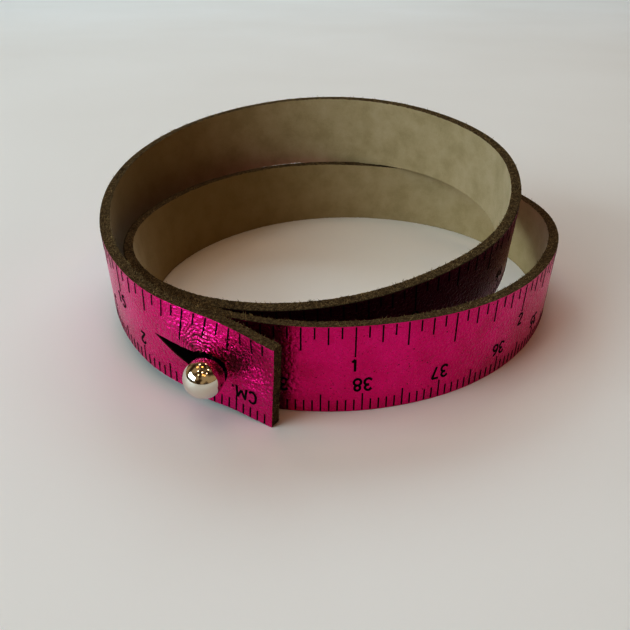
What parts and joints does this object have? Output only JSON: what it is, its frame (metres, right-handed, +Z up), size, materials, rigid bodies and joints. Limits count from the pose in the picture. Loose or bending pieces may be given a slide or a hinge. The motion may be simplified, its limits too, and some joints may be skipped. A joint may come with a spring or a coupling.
{
  "type": "wrist ruler",
  "caption": "Leather wrist strap printed as a ruler, wrapped twice and fastened by a keyhole over a metal ball stud.",
  "frame": {"origin": "bottom centre of the bounding box, on the surface that the strap stands on", "axes": "+Z up, along which the wrist goes in; -Y towards the front, where the keyhole end buttons over the ball stud"},
  "size_m": [0.0688, 0.0694, 0.0237],
  "materials": {
    "foil_leather": "magenta metallic foil on leather, with raw fibrous edges and flesh side",
    "polished_metal": "turned and polished",
    "screw_metal": "turned",
    "ink": "black printed ink"
  },
  "bodies": {
    "root": {"strap": "foil_leather", "ball_stud": "polished_metal", "stud_screw": "screw_metal"}
  },
  "joints": []
}
